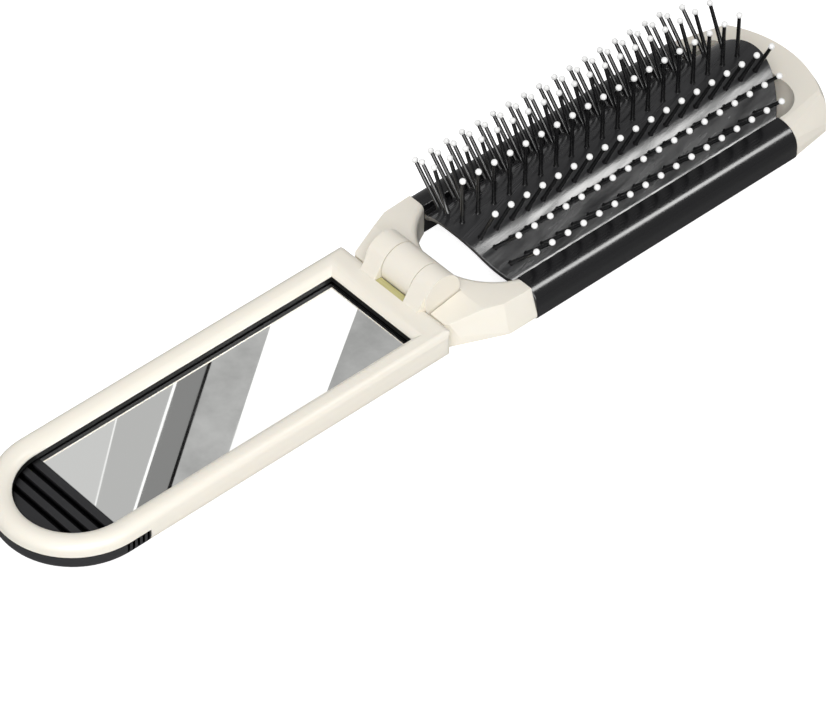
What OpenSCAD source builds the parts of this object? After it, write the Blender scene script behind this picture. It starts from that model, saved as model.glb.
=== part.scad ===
// Folding hairbrush with a mirror in its handle. Millimetres, +Z up, bristles up.
// X runs from the mirror end (-) to the brush end (+). The hinge lies along Y.

/* [Frame] */
// Thickness of the handle and of the brush frame
body_h = 7.5; // [7:0.1:9]

/* [Handle] */
// Length of the handle from its butt to its round tip
handle_len = 98.6; // [97:0.1:103]
// Half of the handle's width
handle_half_w = 16.9; // [16.4:0.1:18]
// Width of the rim round the mirror window, at the sides and the tip
rim_w = 4.85; // [4.6:0.05:5.4]
// Width of the bar between the window and the butt
end_bar = 7.0; // [6.8:0.1:9]
// Distance from the handle's outline to the crest of the rim
crest_in = 2.0; // [1.8:0.1:2.6]
// Drop from the crest to the lip of the window
lip_drop = 1.54; // [1.2:0.02:1.7]
// Thickness of the lip over the liner
lip_t = 0.36; // [0.3:0.02:0.5]
// Rounding of the handle's top edge
top_round = 2.0; // [1:0.1:2.2]
// Rounding of the handle's bottom edge
bottom_round = 3.0; // [1.5:0.1:3.2]
// Rounding of the top edge at the butt
butt_round = 2.3; // [1:0.1:2.4]
// Rounding of the two corners at the butt, seen from above
corner_round = 2.8; // [1.5:0.1:3.4]
// Height of the split between the rim and the mirror tray
split_z = 4.3; // [4.1:0.05:4.6]
// Distance from the butt to the front grip of the tray
grip_from = 76.9; // [74:0.1:78.4]
// Thickness of the handle's side walls
wall_t = 2.6; // [2.2:0.1:2.9]
// Thickness of the solid end behind the butt
end_wall = 4.7; // [4.5:0.1:6]
// Thickness of the back cover
cover_t = 1.2; // [1:0.05:1.4]
// Width of the ledge that the back cover seats on
cover_ledge = 0.8; // [0.6:0.05:1]

/* [Liner and tray] */
// Thickness of the window liner
liner_t = 0.75; // [0.5:0.05:0.9]
// Clearance between pieces that are snapped together
snap_gap = 0.05; // [0.03:0.01:0.1]
// Running clearance round the sliding tray
tray_gap = 0.15; // [0.1:0.01:0.2]
// Thickness of the mirror glass
glass_t = 1.1; // [0.8:0.1:1.3]
// Half of the width of the mirror glass
glass_half_w = 11.9; // [11:0.1:12]
// Distance from the butt to the far edge of the glass
glass_far = 81.0; // [79.5:0.1:82]
// Distance from the butt to the near edge of the glass
glass_near = 7.4; // [7:0.1:9]
// Gap round the glass in its seat
glass_gap = 0.1; // [0.05:0.01:0.15]
// Distance from the butt to the tail of the tray
tray_tail = 5.0; // [4.9:0.05:6.5]
// Number of grooves between the thumb ribs on the tray
groove_n = 3; // [2:1:3]
// Spacing of the thumb ribs
groove_pitch = 2.95; // [2.4:0.05:3.1]
// Width of a groove between thumb ribs
groove_w = 1.35; // [1:0.05:1.6]
// Depth of a groove between thumb ribs
groove_d = 1.6; // [1.2:0.05:1.8]
// Distance from the glass to the middle of the first groove
groove_from = 2.45; // [2:0.05:2.8]
// Number of grip notches on each side of the tray
notch_n = 5; // [3:1:6]
// Spacing of the grip notches
notch_pitch = 1.2; // [1:0.05:1.3]
// Width of a grip notch
notch_w = 0.55; // [0.4:0.05:0.7]
// Depth of a grip notch
notch_d = 0.6; // [0.3:0.05:0.8]
// Distance from the tray's step to the first grip notch
notch_from = 0.75; // [0.6:0.05:1.2]

/* [Hinge] */
// Distance from the butt to the hinge axis
axis_x = 3.7; // [3.6:0.05:4]
// Height of the hinge axis
axis_z = 8.7; // [8.6:0.05:9.2]
// Radius of the hinge barrels
barrel_r = 4.6; // [4.3:0.05:4.7]
// Clearance between a barrel and the part that turns round it
barrel_gap = 0.3; // [0.25:0.05:0.4]
// Half of the width of the middle barrel
mid_half_w = 4.0; // [3.6:0.1:4.4]
// Width of each outer knuckle
knuckle_w = 4.7; // [4.2:0.1:5.2]
// Side clearance between barrels
side_gap = 0.2; // [0.15:0.05:0.3]
// How far a knuckle's web stands back from the end of its barrel
web_in = 0.4; // [0.2:0.05:0.6]
// Distance from the butt to the foot of a knuckle's front
foot_x = 2.6; // [2.4:0.05:3]
// Radius of the hinge pin
pin_r = 1.2; // [1:0.05:1.4]
// How far the pin reaches into each knuckle
pin_in = 3.4; // [3:0.1:3.8]
// Radial clearance of the pin
pin_gap = 0.04; // [0.03:0.01:0.06]
// Thickness of the bronze detent leaf
leaf_t = 1.6; // [1.2:0.05:1.65]
// Height of the slot's floor under the leaf
leaf_z = 4.6; // [4.5:0.05:5]
// Height of the leaf
leaf_h = 2.75; // [2.4:0.05:2.8]

/* [Hub] */
// Gap between the handle's butt and the hub
butt_gap = 0.3; // [0.2:0.05:0.4]
// Distance from the butt to the seam between the hub and the rails
seam_x = 19.0; // [18.4:0.1:21]
// Half of the width of the brush frame
frame_half_w = 20.0; // [19.8:0.1:21]
// Half of the hub's width at the butt
butt_half_w = 13.3; // [13:0.1:14]
// Place of the hub's first shoulder, along the brush and across it
shoulder = [2.2, 15.6];
// Distance from the butt to the hub's widest place
flare_x = 12.0; // [10:0.1:14]
// Distance from the butt to the ridge on the hub's top
ridge_x = 8.0; // [7:0.1:9]
// Drop of the hub's ramp at the butt
ramp_drop = 1.4; // [1:0.05:1.6]
// Half of the width of the flat top at the butt
crease_butt = 13.3; // [13.1:0.1:13.8]
// Half of the width of the flat top at the ridge
crease_ridge = 16.3; // [16:0.1:16.5]
// Half of the width of the flat top at the hub's widest place
crease_flare = 17.8; // [17.6:0.1:18]
// Half of the width of the flat top at the seam
crease_seam = 18.1; // [17.9:0.1:18.4]
// Steepness of the faces below the edges of the hub's top
edge_slope = 3.0; // [2.5:0.1:3.6]
// Radius of the crescent opening
crescent_r = 15.0; // [14.5:0.1:15.4]
// Distance from the butt to the middle of the crescent
crescent_x = 25.0; // [24.8:0.1:26]
// Size of the bevel along the bottom edges
bottom_bevel = 1.0; // [0.5:0.1:1.4]

/* [Rails] */
// Length of the rails between the hub and the end cap
rail_len = 72.0; // [71.4:0.1:78]
// Width of each rail
rail_w = 6.1; // [5.8:0.1:6.3]
// Rounding of a rail's top outer edge
rail_round = 4.5; // [3:0.1:5.4]
// Width of the tenon at each end of a rail
tenon_w = 2.8; // [2:0.1:3]
// Height of the tenon
tenon_h = 3.0; // [2:0.1:3.2]
// Length of the tenon
tenon_len = 5.0; // [3:0.1:5.4]
// Height of the tenon's underside
tenon_z = 1.5; // [1.2:0.1:1.8]
// Clearance round the tenon in its socket
tenon_gap = 0.05; // [0.03:0.01:0.1]

/* [End cap] */
// Length of the end cap from the seam to its round end
cap_len = 17.3; // [17:0.1:18.4]
// Radius of the round end
cap_r = 26.4; // [26:0.1:28]
// Distance from the seam to the front of the scoop
scoop_depth = 8.6; // [8.4:0.1:9.2]
// Half of the scoop's width
scoop_half_w = 14.4; // [14.2:0.1:14.8]
// Rounding of the scoop's corners and of its wall
scoop_round = 7.4; // [6.6:0.1:7.8]
// Height of the scoop's floor
scoop_floor = 1.6; // [1.2:0.1:2]
// Width of the bevel round the cap's top edge
cap_bevel = 1.1; // [0.8:0.1:1.4]
// Drop of the bevel round the cap's top edge
cap_drop = 2.0; // [1.4:0.1:2.4]
// Half of the width of the cap's flat top at its round end
end_top_w = 12.6; // [12.4:0.1:13]
// Foot of the cap's corner facet at its round end: distance from the middle, height
end_facet = [15.6, 4.4];
// Half of the cap's width at its round end
end_half_w = 17.6; // [17.2:0.1:18]

/* [Pad] */
// Radius of the arched pad's top
pad_r = 11.7; // [11.4:0.1:12]
// Height of the pad's crown
pad_top = 14.0; // [13.9:0.1:14.6]
// Thickness of the pad sheet
pad_t = 0.8; // [0.7:0.05:1]
// Slope of the pad's flanks
flank_deg = 42; // [41:0.5:43]
// Distance from the butt to the pad's end under the hinge
pad_from = 13.6; // [13.2:0.1:14]
// Distance from the far seam to the pad's far end
pad_past = 6.5; // [6:0.1:6.8]
// Radius of the pad's end beside the hub, seen from above
pad_end_r = 19.8; // [19:0.1:20.6]
// Radius of the pad's far end, seen from above
pad_far_r = 17.2; // [16.6:0.1:18]
// How far the pad's edge reaches into a rail
edge_in = 1.0; // [0.8:0.05:1.1]
// Clearance over and beside the pad's edge in its groove
edge_gap = 0.1; // [0.06:0.01:0.15]

/* [Pins] */
// Spacing of the pins along a row
pin_pitch = 4.2; // [4.1:0.02:4.2]
// Number of pins in the middle row
pin_count = 19; // [15:1:19]
// Lean of the second row from upright
lean_2 = 24.5; // [23:0.5:26]
// Lean of the third row from upright
lean_3 = 40.2; // [39.5:0.1:41]
// Distance of the fourth row down the flank
row_4_down = 3.9; // [3.6:0.1:4.4]
// Distance from the pad's end to the first pin of the middle row
first_1 = 3.3; // [2.9:0.1:3.5]
// Distance from the pad's end to the first pin of the second row
first_2 = 3.8; // [3.5:0.1:4]
// Distance from the pad's end to the first pin of the third row
first_3 = 5.3; // [5:0.1:5.5]
// Distance from the pad's end to the first pin of the fourth row
first_4 = 6.7; // [6.5:0.1:7]
// Length of the middle row's pins up to the middle of their balls
pin_len_1 = 10.9; // [9:0.1:12]
// Length of the second row's pins
pin_len_2 = 10.1; // [9:0.1:12]
// Length of the third row's pins
pin_len_3 = 10.4; // [9:0.1:12]
// Length of the fourth row's pins
pin_len_4 = 10.8; // [9:0.1:12]
// Radius of a pin's stem over its four edges
stem_r = 0.48; // [0.4:0.02:0.55]
// Radius of the ball on a pin
ball_r = 0.68; // [0.6:0.02:0.8]
// Distance from the middle of a ball to its seat on the stem
ball_seat = 0.46; // [0.4:0.02:0.5]

/* [Hidden] */
$fn = 96;
e = 0.01;
big = 60;
cream = [0.95, 0.93, 0.88];
black = [0.13, 0.13, 0.14];
window_half_w = handle_half_w - rim_w;
crest_half_w = handle_half_w - crest_in;
lip_z = body_h - lip_drop;
slope_w = crest_half_w - window_half_w;
slope_r = (slope_w * slope_w + lip_drop * lip_drop) / (2 * lip_drop);
tip_x = -(handle_len - handle_half_w);
window_x = -end_bar;
liner_top = lip_z - lip_t;
cavity_half_w = handle_half_w - wall_t;
cavity_x = -end_wall;
cover_half_w = cavity_half_w + cover_ledge;
cover_x = cavity_x + cover_ledge;
tray_top = split_z - tray_gap;
tray_low = cover_t + tray_gap;
tray_half_w = cavity_half_w - tray_gap;
grip_x = -grip_from;
glass_z = tray_top - glass_t;
ball_flat = sqrt(ball_r * ball_r - ball_seat * ball_seat);
ball_cap = 0.9 * ball_r;
cap_flat = sqrt(ball_r * ball_r - ball_cap * ball_cap);
turn_r = barrel_r + barrel_gap;
slot_half_w = mid_half_w + side_gap;
knuckle_y = slot_half_w + knuckle_w;
pocket_y = knuckle_y + barrel_gap;
pin_half_l = slot_half_w + pin_in;
leaf_x = -foot_x + 0.1;
cap_x = seam_x + rail_len;
end_x = cap_x + cap_len;
cap_mid_x = end_x - cap_r;
rail_y = frame_half_w - rail_w;
tenon_y = rail_y + (rail_w - tenon_w) / 2 - 0.1;
scoop_x = cap_x + scoop_depth;
pad_z = pad_top - pad_r;
pad_to = cap_x + pad_past;
flank_y = pad_r * sin(flank_deg);
flank_z = pad_z + pad_r * cos(flank_deg);
edge_y = rail_y - 0.4;
edge_z = flank_z - (edge_y - flank_y) * tan(flank_deg);
edge_out = rail_y + edge_in;
edge_low_y = edge_y - (pad_t / cos(flank_deg) - pad_t) / tan(flank_deg);
split_1 = lean_2 / 2;
split_2 = (lean_2 + lean_3) / 2;
split_3 = row_4_down / 2;
mid_x = (end_x - handle_len) / 2;

// ---------- helpers ----------

// Corner left over between a square corner and its rounding; the corner points to +x +y
module round_off(r) {
  difference() {
    square([r + 1, r + 1]);
    circle(r);
  }
}

// Profile in the plane across the brush, drawn out along X from x0 to x1
module along_x(x0, x1) {
  translate([x0, 0, 0]) rotate([90, 0, 90]) linear_extrude(x1 - x0) children();
}

// Profile in the plane along the brush (x, z), drawn out across Y from y0 to y1
module across_y(y0, y1) {
  translate([0, y1, 0]) rotate([90, 0, 0]) linear_extrude(y1 - y0) children();
}

module box(x0, x1, y0, y1, z0, z1) {
  translate([x0, y0, z0]) cube([x1 - x0, y1 - y0, z1 - z0]);
}

// The same piece on both sides of the middle plane
module both_sides() {
  children();
  mirror([0, 1, 0]) children();
}

// ---------- handle ----------

// Half section of the handle's outer shape: distance from the middle, height
module handle_half() {
  difference() {
    square([handle_half_w, body_h]);
    translate([handle_half_w - top_round, body_h - top_round]) round_off(top_round);
    translate([handle_half_w - bottom_round, bottom_round]) mirror([0, 1]) round_off(bottom_round);
  }
}

module handle_form() {
  difference() {
    union() {
      along_x(tip_x, 0) {
        handle_half();
        mirror([1, 0]) handle_half();
      }
      intersection() {
        translate([tip_x, 0, 0]) rotate_extrude() handle_half();
        box(-handle_len - 1, tip_x, -big, big, -1, body_h + 1);
      }
    }
    across_y(-big, big) translate([-butt_round, body_h - butt_round]) round_off(butt_round);
    both_sides() {
      translate([-corner_round, handle_half_w - corner_round, -1])
        linear_extrude(body_h + 2) round_off(corner_round);
    }
  }
}

// Window section: the clear width, widened upwards by the rounded slope of the rim
module window_section(half_w, z0) {
  difference() {
    translate([0, z0]) square([half_w + slope_w, body_h + 1 - z0]);
    translate([half_w, z0 - 1]) square([slope_w + 1, lip_z - lip_drop - z0 + 1]);
    intersection() {
      translate([half_w + slope_w, body_h - slope_r]) circle(slope_r);
      translate([half_w, z0 - 1]) square([slope_w + 1, body_h + 2 - z0]);
    }
  }
}

module window_cut(z0) {
  intersection() {
    along_x(tip_x, 0) {
      window_section(window_half_w, z0);
      mirror([1, 0]) window_section(window_half_w, z0);
    }
    across_y(-big, big) {
      difference() {
        translate([-handle_len, z0]) square([handle_len + window_x + slope_w, body_h + 1 - z0]);
        translate([window_x, z0 - 1]) square([slope_w + 1, lip_z - lip_drop - z0 + 1]);
        intersection() {
          translate([window_x + slope_w, body_h - slope_r]) circle(slope_r);
          translate([window_x, z0 - 1]) square([slope_w + 1, body_h + 2 - z0]);
        }
      }
    }
  }
  intersection() {
    translate([tip_x, 0, 0]) rotate_extrude() window_section(window_half_w, z0);
    box(-handle_len - 1, tip_x, -big, big, z0 - 1, body_h + 2);
  }
}

// Plan of the window, made wider by a margin
module window_plan(margin) {
  w = window_half_w + margin;
  translate([tip_x, -w]) square([window_x - tip_x + margin, 2 * w]);
  difference() {
    translate([tip_x, 0]) circle(w);
    translate([tip_x, -w - 1]) square([w + 1, 2 * w + 2]);
  }
}

module knuckle(y0, y1) {
  d = sqrt(pow(axis_x + foot_x, 2) + pow(axis_z - body_h, 2));
  a = 180 + atan2(axis_z - body_h, axis_x + foot_x) - acos(barrel_r / d);
  touch = [axis_x + barrel_r * cos(a), axis_z + barrel_r * sin(a)];
  low = axis_z - barrel_r;
  across_y(y0, y1) translate([axis_x, axis_z]) circle(barrel_r);
  across_y(y0, y1 - web_in)
    polygon([[-foot_x, body_h], touch, [axis_x, axis_z], [axis_x, low], [-foot_x, low]]);
}

module handle_shell() {
  color(cream) difference() {
    union() {
      handle_form();
      both_sides() knuckle(slot_half_w, knuckle_y);
    }
    window_cut(split_z - 1);
    // liner seat under the lip
    translate([0, 0, split_z - 1]) linear_extrude(liner_top - split_z + 1) window_plan(liner_t + snap_gap);
    // space for the tray, and the open tip below the rim
    box(-handle_len - 1, cavity_x, -cavity_half_w, cavity_half_w, -1, split_z);
    box(-handle_len - 1, grip_x, -big, big, -1, split_z);
    // seat of the back cover
    box(-handle_len - 1, cover_x, -cover_half_w, cover_half_w, -1, cover_t);
    // notch for the middle barrel and slot for the leaf
    across_y(-slot_half_w, slot_half_w) translate([axis_x, axis_z]) circle(turn_r);
    box(leaf_x, axis_x, -slot_half_w, slot_half_w, leaf_z, body_h + 1);
    // blind bore for the pin
    across_y(-pin_half_l - pin_gap, pin_half_l + pin_gap) translate([axis_x, axis_z]) circle(pin_r + pin_gap);
  }
}

module handle_back() {
  color(cream) intersection() {
    handle_form();
    box(grip_x, cover_x - snap_gap, -cover_half_w + snap_gap, cover_half_w - snap_gap, -1, cover_t);
  }
}

module window_liner() {
  color(black) translate([0, 0, split_z]) linear_extrude(liner_top - split_z) difference() {
    window_plan(liner_t);
    window_plan(0);
  }
}

module hinge_pin() {
  color([0.7, 0.7, 0.72]) across_y(-pin_half_l, pin_half_l) translate([axis_x, axis_z]) circle(pin_r);
}

module detent_leaf() {
  color([0.62, 0.58, 0.36])
    box(leaf_x, leaf_x + leaf_t, -slot_half_w + snap_gap, slot_half_w - snap_gap, leaf_z, leaf_z + leaf_h);
}

// ---------- mirror tray ----------

module mirror_tray() {
  color(black) difference() {
    union() {
      intersection() {
        handle_form();
        box(-handle_len - 1, grip_x - tray_gap, -big, big, -1, tray_top);
      }
      box(grip_x - 1, -tray_tail, -tray_half_w, tray_half_w, tray_low, tray_top);
    }
    box(-glass_far - glass_gap, -glass_near + glass_gap,
      -glass_half_w - glass_gap, glass_half_w + glass_gap, glass_z, tray_top + 1);
    for (i = [0:groove_n - 1]) {
      x = -glass_far - groove_from - i * groove_pitch;
      half_l = sqrt(pow(window_half_w + liner_t, 2) - pow(min(0, x - tip_x), 2));
      box(x - groove_w / 2, x + groove_w / 2, -half_l, half_l, tray_top - groove_d, tray_top + 1);
    }
    for (i = [0:notch_n - 1]) {
      x = grip_x - notch_from - i * notch_pitch;
      edge = sqrt(pow(handle_half_w, 2) - pow(min(0, x - tip_x), 2));
      both_sides() box(x - notch_w / 2, x + notch_w / 2, edge - notch_d, edge + 2, -1, tray_top + 1);
    }
  }
}

module mirror_glass() {
  color([0.75, 0.77, 0.78])
    box(-glass_far, -glass_near, -glass_half_w, glass_half_w, glass_z, tray_top);
}

// ---------- brush frame ----------

// Wedge along an edge from p to q: takes off all that lies outside a sloping face through that line
module wedge(p, q, z, rise, reach) {
  d = q - p;
  translate([p[0], p[1], z]) rotate([0, 0, atan2(d[1], d[0])]) translate([-3, 0, 0])
    rotate([90, 0, 90]) linear_extrude(norm(d) + 6)
      polygon([[-2, 2 * rise], [reach, -reach * rise], [reach + 9, -reach * rise], [reach + 9, 2 * rise]]);
}

module tenon_sockets(x0, x1) {
  both_sides() box(x0, x1, tenon_y - tenon_gap, tenon_y + tenon_w + tenon_gap,
    tenon_z - tenon_gap, tenon_z + tenon_h + tenon_gap);
}

module hub_plan() {
  polygon([[butt_gap, -butt_half_w], [shoulder[0], -shoulder[1]], [flare_x, -frame_half_w],
    [seam_x, -frame_half_w], [seam_x, frame_half_w], [flare_x, frame_half_w],
    [shoulder[0], shoulder[1]], [butt_gap, butt_half_w]]);
}

module hub() {
  color(cream) difference() {
    union() {
      difference() {
        linear_extrude(body_h) hub_plan();
        // ramp up from the butt to the ridge
        both_sides() across_y(pocket_y, big)
          polygon([[butt_gap - 1, body_h - ramp_drop], [butt_gap, body_h - ramp_drop], [ridge_x, body_h],
            [ridge_x, body_h + 1], [butt_gap - 1, body_h + 1]]);
        // bevels on the top and bottom edges
        both_sides() {
          wedge([butt_gap, crease_butt], [ridge_x, crease_ridge], body_h, edge_slope, 9);
          wedge([ridge_x, crease_ridge], [flare_x, crease_flare], body_h, edge_slope, 9);
          wedge([flare_x, crease_flare], [seam_x, crease_seam], body_h, edge_slope, 9);
          wedge([shoulder[0], shoulder[1] - bottom_bevel], [flare_x, frame_half_w - bottom_bevel], 0, -1, 9);
          wedge([flare_x, frame_half_w - bottom_bevel], [seam_x, frame_half_w - bottom_bevel], 0, -1, 9);
        }
        // pockets round the handle's knuckles
        both_sides() {
          across_y(mid_half_w, pocket_y) translate([axis_x, axis_z]) circle(turn_r);
          box(-1, axis_x, mid_half_w, pocket_y, axis_z - turn_r, body_h + 1);
        }
      }
      // middle barrel
      across_y(-mid_half_w, mid_half_w) {
        translate([axis_x, axis_z]) circle(barrel_r);
        translate([axis_x, 1]) square([barrel_r, axis_z - 1]);
      }
    }
    translate([crescent_x, 0, -1]) cylinder(h = axis_z + barrel_r + 2, r = crescent_r);
    tenon_sockets(seam_x - tenon_len - tenon_gap, seam_x + 1);
    across_y(-big, big) translate([axis_x, axis_z]) circle(pin_r + pin_gap);
  }
}

module rail_section() {
  difference() {
    translate([rail_y, 0]) square([rail_w, body_h]);
    translate([frame_half_w - rail_round, body_h - rail_round]) round_off(rail_round);
    translate([frame_half_w - bottom_bevel, bottom_bevel]) mirror([0, 1]) round_off(bottom_bevel);
    translate([rail_y - 1, edge_z - pad_t]) square([1 + edge_in + edge_gap, pad_t + edge_gap]);
  }
}

module rail() {
  along_x(seam_x, cap_x) rail_section();
  box(seam_x - tenon_len, cap_x + tenon_len, tenon_y, tenon_y + tenon_w, tenon_z, tenon_z + tenon_h);
}

module rail_left() {
  color(black) rail();
}

module rail_right() {
  color(black) mirror([0, 1, 0]) rail();
}

// Half section of the scoop, measured from the middle of its rounding
module scoop_half() {
  intersection() {
    circle(scoop_round);
    translate([0, scoop_floor - body_h]) square([scoop_round + 1, body_h + 1 - scoop_floor]);
  }
}

// Dish round the pad's far end, open towards the rails
module scoop() {
  x = scoop_x - scoop_round;
  y = scoop_half_w - scoop_round;
  box(cap_x - 1, x, -y, y, scoop_floor, body_h + 1);
  across_y(-y, y) translate([x, body_h]) scoop_half();
  both_sides() {
    along_x(cap_x - 1, x) translate([y, body_h]) scoop_half();
    intersection() {
      translate([x, y, body_h]) rotate_extrude() scoop_half();
      box(x, x + scoop_round + 1, y, y + scoop_round + 1, 0, body_h + 1);
    }
  }
}

// Half section of the cap at the seam, rounded like the rails
module cap_half() {
  b = bottom_bevel;
  r = rail_round;
  difference() {
    polygon([[0, 0], [frame_half_w - b, 0], [frame_half_w, b], [frame_half_w, body_h], [0, body_h]]);
    translate([frame_half_w - r, body_h - r]) round_off(r, $fn = 12);
  }
}

// Cap body: the rails' section at the seam, with corner facets towards the round end
module cap_form() {
  b = bottom_bevel;
  w = end_half_w;
  hull() {
    along_x(cap_x, cap_x + e) {
      cap_half();
      mirror([1, 0]) cap_half();
    }
    along_x(end_x, end_x + e)
      polygon([[b - w, 0], [w - b, 0], [w, b], end_facet, [end_top_w, body_h], [-end_top_w, body_h],
        [-end_facet[0], end_facet[1]], [-w, b]]);
  }
}

module end_cap() {
  b = bottom_bevel;
  color(cream) difference() {
    intersection() {
      cap_form();
      translate([cap_mid_x, 0, 0]) rotate_extrude()
        polygon([[0, 0], [cap_r - b, 0], [cap_r, b], [cap_r, body_h - cap_drop],
          [cap_r - cap_bevel, body_h], [0, body_h]]);
    }
    scoop();
    tenon_sockets(cap_x - 1, cap_x + tenon_len + tenon_gap);
  }
}

// ---------- pad and pins ----------

function on_arc(a, r) = [r * sin(a), pad_z + r * cos(a)];
function arc_points(a0, a1, r, n) = [for (i = [0:n]) on_arc(a0 + (a1 - a0) * i / n, r)];
function on_flank(s, depth) = [flank_y + s * cos(flank_deg) - depth * sin(flank_deg),
  flank_z - s * sin(flank_deg) - depth * cos(flank_deg)];

// Row 0 is the middle one, row 3 is beside the rail
module slice_section(row) {
  low = pad_r - pad_t;
  if (row == 0) polygon(concat(arc_points(-split_1, split_1, pad_r, 6), arc_points(split_1, -split_1, low, 6)));
  if (row == 1) polygon(concat(arc_points(split_1, split_2, pad_r, 5), arc_points(split_2, split_1, low, 5)));
  if (row == 2) polygon(concat(arc_points(split_2, flank_deg, pad_r, 3), [on_flank(split_3, 0),
    on_flank(split_3, pad_t)], arc_points(flank_deg, split_2, low, 3)));
  if (row == 3) polygon([on_flank(split_3, 0), [edge_y, edge_z], [edge_out, edge_z],
    [edge_out, edge_z - pad_t], [edge_low_y, edge_z - pad_t], on_flank(split_3, pad_t)]);
}

// Outline of the pad seen from above, with its two rounded ends
module pad_plan() {
  near_x = pad_from + pad_end_r;
  far_x = pad_to - pad_far_r;
  intersection() {
    union() {
      translate([near_x, 0]) circle(pad_end_r);
      translate([near_x, -big]) square([far_x - near_x, 2 * big]);
      translate([far_x, 0]) circle(pad_far_r);
    }
    translate([pad_from - 1, -edge_out - 1]) square([pad_to - pad_from + 2, 2 * edge_out + 2]);
  }
}

lean = [0, lean_2, lean_3, flank_deg];
first = [first_1, first_2, first_3, first_4];
pin_len = [pin_len_1, pin_len_2, pin_len_3, pin_len_4];

function pins_in(row) = pin_count - max(0, row - 1);
function foot_of(row) = row == 3 ? on_flank(row_4_down, 0) : on_arc(lean[row], pad_r);

// Puts a piece at every pin of a row, standing on the pad's surface
module at_pins(row) {
  f = foot_of(row);
  for (i = [0:pins_in(row) - 1])
    translate([pad_from + first[row] + i * pin_pitch, f[0], f[1]]) rotate([-lean[row], 0, 0]) children();
}

module pad_row(row) {
  color(black) {
    intersection() {
      along_x(pad_from - 1, pad_to + 1) slice_section(row);
      translate([0, 0, -1]) linear_extrude(pad_top + 3) pad_plan();
    }
    at_pins(row) translate([0, 0, -pad_t / 2])
      cylinder(h = pad_t / 2 + pin_len[row] - ball_seat, r = stem_r, $fn = 4);
  }
}

module row_tips(row) {
  color([0.97, 0.97, 0.96]) at_pins(row) translate([0, 0, pin_len[row]])
    rotate_extrude($fn = 6)
      polygon([[0, -ball_seat], [ball_flat, -ball_seat], [ball_r, 0], [cap_flat, ball_cap], [0, ball_cap]]);
}

module pad_row_1() { mirror([0, 1, 0]) pad_row(3); }
module pad_row_2() { mirror([0, 1, 0]) pad_row(2); }
module pad_row_3() { mirror([0, 1, 0]) pad_row(1); }
module pad_row_4() { pad_row(0); }
module pad_row_5() { pad_row(1); }
module pad_row_6() { pad_row(2); }
module pad_row_7() { pad_row(3); }
module row_tips_1() { mirror([0, 1, 0]) row_tips(3); }
module row_tips_2() { mirror([0, 1, 0]) row_tips(2); }
module row_tips_3() { mirror([0, 1, 0]) row_tips(1); }
module row_tips_4() { row_tips(0); }
module row_tips_5() { row_tips(1); }
module row_tips_6() { row_tips(2); }
module row_tips_7() { row_tips(3); }

// ---------- assembly ----------

translate([-mid_x, 0, 0]) {
  handle_shell();
  handle_back();
  window_liner();
  hinge_pin();
  detent_leaf();
  mirror_tray();
  mirror_glass();
  hub();
  end_cap();
  rail_left();
  rail_right();
  pad_row_1();
  pad_row_2();
  pad_row_3();
  pad_row_4();
  pad_row_5();
  pad_row_6();
  pad_row_7();
  row_tips_1();
  row_tips_2();
  row_tips_3();
  row_tips_4();
  row_tips_5();
  row_tips_6();
  row_tips_7();
}
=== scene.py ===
"""Looks of a folding pocket hairbrush with a mirror in its handle.

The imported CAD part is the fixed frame. This file dresses it: moulded cream and black plastic, an arched pad
of ball-tipped pins, a sliding mirror tray, and a plain white studio seen from the photograph's angle.
All sizes are in metres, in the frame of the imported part: +X towards the brush end, +Z up.
"""

import logging
import math
from dataclasses import dataclass, field
from enum import Enum

import bmesh
import bpy
import numpy as np
from mathutils import Matrix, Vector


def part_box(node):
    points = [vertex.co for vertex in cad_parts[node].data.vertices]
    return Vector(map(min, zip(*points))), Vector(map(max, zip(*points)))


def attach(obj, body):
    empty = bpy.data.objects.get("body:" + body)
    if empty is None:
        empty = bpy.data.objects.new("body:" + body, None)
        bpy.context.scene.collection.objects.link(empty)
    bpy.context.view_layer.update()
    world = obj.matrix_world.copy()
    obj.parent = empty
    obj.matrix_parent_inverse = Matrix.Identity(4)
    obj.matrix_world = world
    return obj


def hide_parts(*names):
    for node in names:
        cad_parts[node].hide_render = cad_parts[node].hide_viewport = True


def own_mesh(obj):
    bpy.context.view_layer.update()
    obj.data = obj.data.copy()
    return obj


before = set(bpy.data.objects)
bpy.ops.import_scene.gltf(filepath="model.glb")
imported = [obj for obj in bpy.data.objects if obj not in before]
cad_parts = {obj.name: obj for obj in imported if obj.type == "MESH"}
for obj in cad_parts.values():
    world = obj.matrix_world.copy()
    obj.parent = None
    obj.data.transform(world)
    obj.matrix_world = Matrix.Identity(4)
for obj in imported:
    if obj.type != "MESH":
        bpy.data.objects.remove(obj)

LOG = logging.getLogger("hairbrush")
MM = 0.001
WELD = 0.002 * MM
FLAT_BELOW = math.radians(0.6)


class Body(Enum):
    """The moving bodies that a piece can ride on."""

    HEAD = "head"
    HANDLE = "handle"
    TRAY = "tray"


class Side(Enum):
    """The two sides of the brush, as the sign of Y."""

    NEAR = -1
    FAR = 1


def linear(red: int, green: int, blue: int) -> tuple[float, float, float, float]:
    """Turns a display colour into the linear colour that a shader takes.

    Args:
        red: Red from 0 to 255.
        green: Green from 0 to 255.
        blue: Blue from 0 to 255.

    Returns:
        The linear colour with full opacity.
    """
    shares = [c / 255.0 for c in (red, green, blue)]
    lin = [c / 12.92 if c <= 0.04045 else ((c + 0.055) / 1.055) ** 2.4 for c in shares]
    return (lin[0], lin[1], lin[2], 1.0)


# ---------------------------------------------------------------- finishes


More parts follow.
